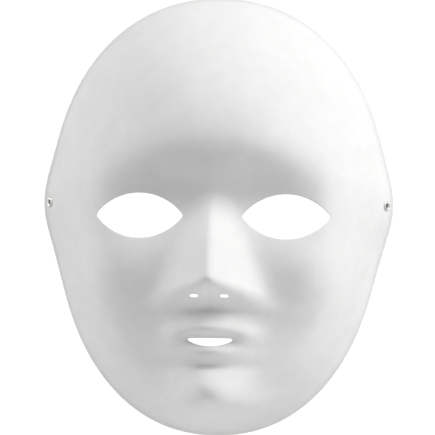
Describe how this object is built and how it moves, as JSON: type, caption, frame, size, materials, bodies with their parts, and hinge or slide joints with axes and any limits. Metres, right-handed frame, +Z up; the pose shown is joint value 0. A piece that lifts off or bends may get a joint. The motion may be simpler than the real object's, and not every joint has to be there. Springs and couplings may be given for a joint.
{
  "type": "full face costume mask",
  "caption": "Plain white full-face costume mask: a moulded pulp shell with eye, nostril and mouth openings and a metal eyelet at each temple for an elastic.",
  "frame": {"origin": "midway between the two temple eyelets, in the plane of the trimmed rim", "axes": "+Z up from chin to crown, -Y out of the face along the nose, +X to the right of someone looking at the face"},
  "size_m": [0.1928, 0.0847, 0.241],
  "materials": {
    "pulp": "matt white moulded paper pulp",
    "eyelet_metal": "nickel-plated, satin"
  },
  "bodies": {
    "root": {"mask_shell": "pulp", "eyelet_left": "eyelet_metal", "eyelet_right": "eyelet_metal", "eyelet_washer_left": "eyelet_metal", "eyelet_washer_right": "eyelet_metal"}
  },
  "joints": []
}
